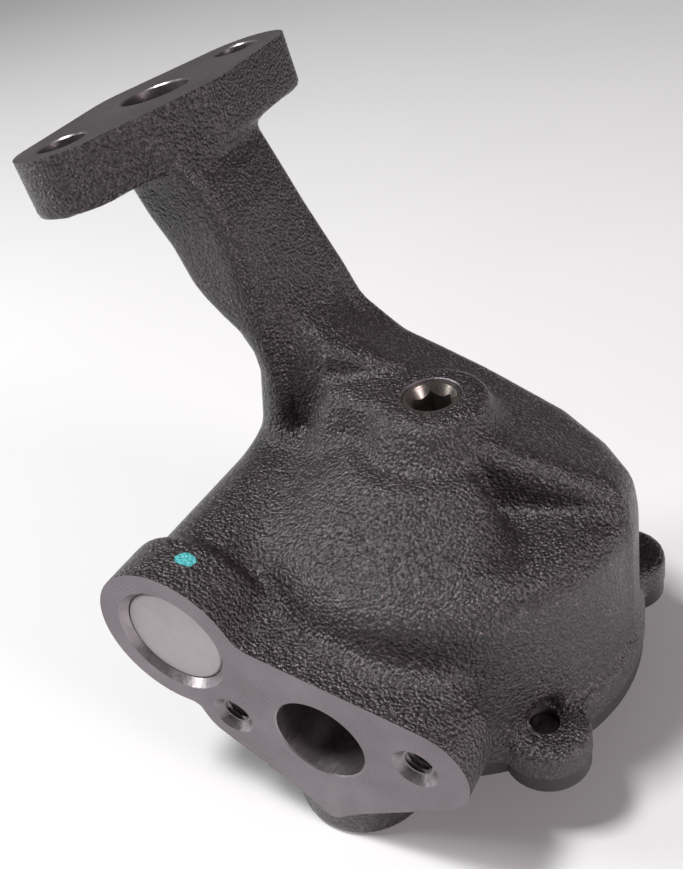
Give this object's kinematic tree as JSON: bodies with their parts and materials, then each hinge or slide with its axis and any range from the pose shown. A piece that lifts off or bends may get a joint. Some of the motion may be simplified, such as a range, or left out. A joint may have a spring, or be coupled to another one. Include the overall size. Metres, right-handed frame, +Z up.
{
  "type": "rotor-type engine oil pump",
  "caption": "Cast-iron engine oil pump: hex-socket drive shaft, lobed rotors in a drum housing, leaning outlet arm with a two-bolt flange, and a milled pickup face with a relief valve.",
  "frame": {"origin": "centre of the drive boss's end face, on the rotor shaft's axis", "axes": "+Z up the rotor shaft, out of its hexagonal socket; -Y out of the milled pickup face; the outlet arm leans towards -X"},
  "size_m": [0.1228, 0.1063, 0.1427],
  "materials": {
    "casting": "as-cast sand texture, dark grey, with milled grey faces",
    "ground_plate": "ground plate, satin",
    "zinc_steel": "plain plated steel fasteners",
    "bright_steel": "turned and ground steel, satin to bright",
    "sintered_steel": "sintered steel, matt grey",
    "spring_steel": "drawn wire, dark"
  },
  "bodies": {
    "housing": {"pump_body": "casting", "cover_plate": "ground_plate", "cover_bolt_1": "zinc_steel", "cover_bolt_2": "zinc_steel", "cover_bolt_3": "zinc_steel", "cover_bolt_4": "zinc_steel", "lock_washer_1": "zinc_steel", "lock_washer_2": "zinc_steel", "lock_washer_3": "zinc_steel", "lock_washer_4": "zinc_steel", "relief_plug": "bright_steel"},
    "rotor_drive": {"rotor_shaft": "bright_steel", "inner_rotor": "sintered_steel", "rotor_pin": "bright_steel"},
    "outer_rotor": {"outer_rotor": "sintered_steel"},
    "relief_valve": {"relief_piston": "bright_steel", "relief_spring": "spring_steel"}
  },
  "joints": [
    {"name": "rotor_spin", "type": "hinge", "parent": "housing", "child": "rotor_drive", "pos_m": [0, 0, 0], "axis": [0, 0, 1], "continuous": true},
    {"name": "outer_spin", "type": "hinge", "parent": "housing", "child": "outer_rotor", "pos_m": [0, -0.0028, 0], "axis": [0, 0, 1], "continuous": true},
    {"name": "relief_slide", "type": "slide", "parent": "housing", "child": "relief_valve", "axis": [0, -1, 0], "range_m": [0, 0.009], "stiffness_N_per_m": 5500, "springref_m": -0.0135, "deforming": ["relief_spring"]}
  ],
  "couplings": [
    {"joint": "outer_spin", "follows": "rotor_spin", "ratio": 0.8}
  ]
}
